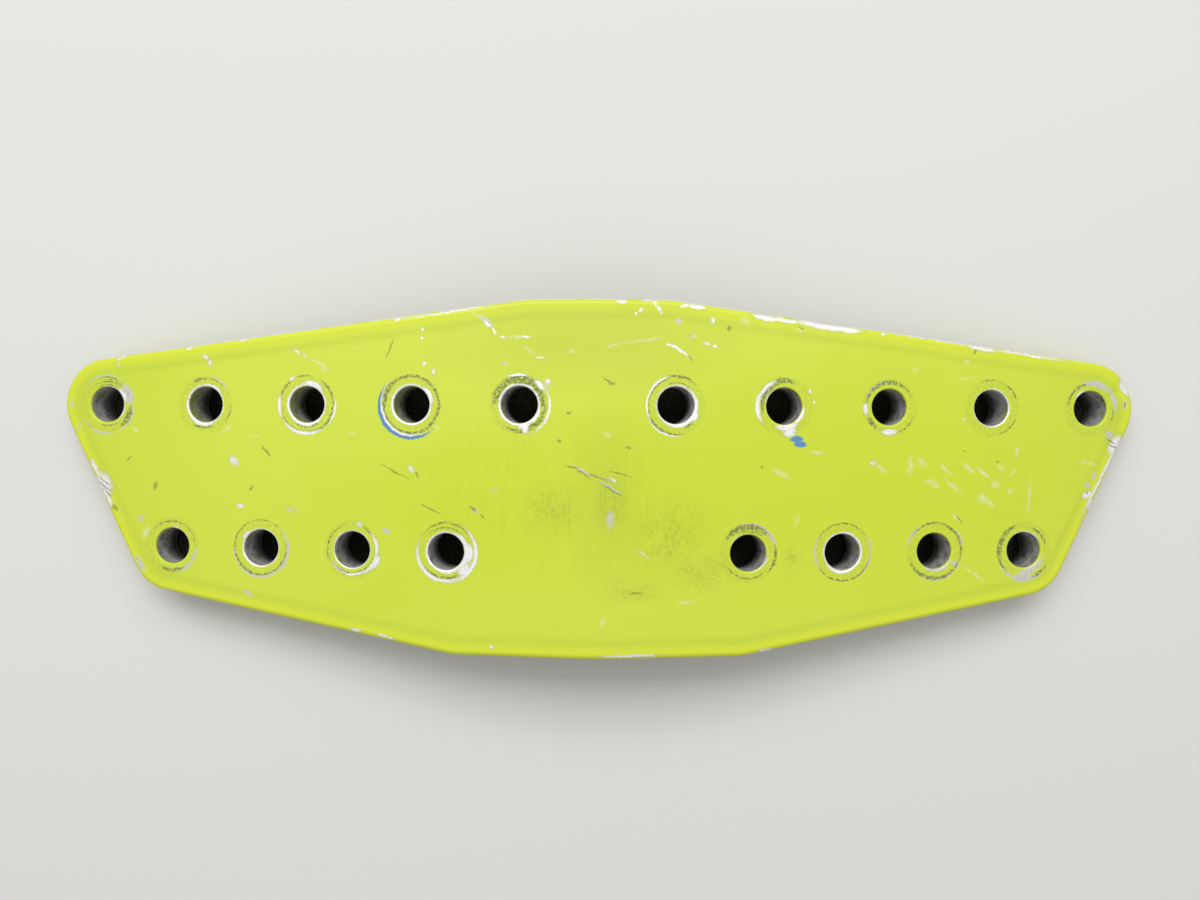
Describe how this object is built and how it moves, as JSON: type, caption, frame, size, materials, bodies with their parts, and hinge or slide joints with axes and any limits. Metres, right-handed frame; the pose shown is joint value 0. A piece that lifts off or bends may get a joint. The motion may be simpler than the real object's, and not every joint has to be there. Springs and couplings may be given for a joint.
{
  "type": "spar attachment plate",
  "caption": "Thick tapered plate, slightly bent across its middle, with rows of bolt holes that join the spars of a left and a right wing end to end.",
  "frame": {"origin": "bottom centre of the bounding box: under the bend line, midway between the two bolt rows, at the height of the lowest back edges of the two wing tips", "axes": "+X along the plate's length; +Y across it, from the lower bolt row (four holes a side) to the upper one (five a side); +Z out of the convex front face, away from the spar"},
  "size_m": [0.2918, 0.092, 0.0266],
  "materials": {
    "primed_aluminium": "yellow-green primer over aluminium, satin, worn to bare metal at rims and bolt holes"
  },
  "bodies": {
    "root": {"attachment_plate": "primed_aluminium"}
  },
  "joints": []
}
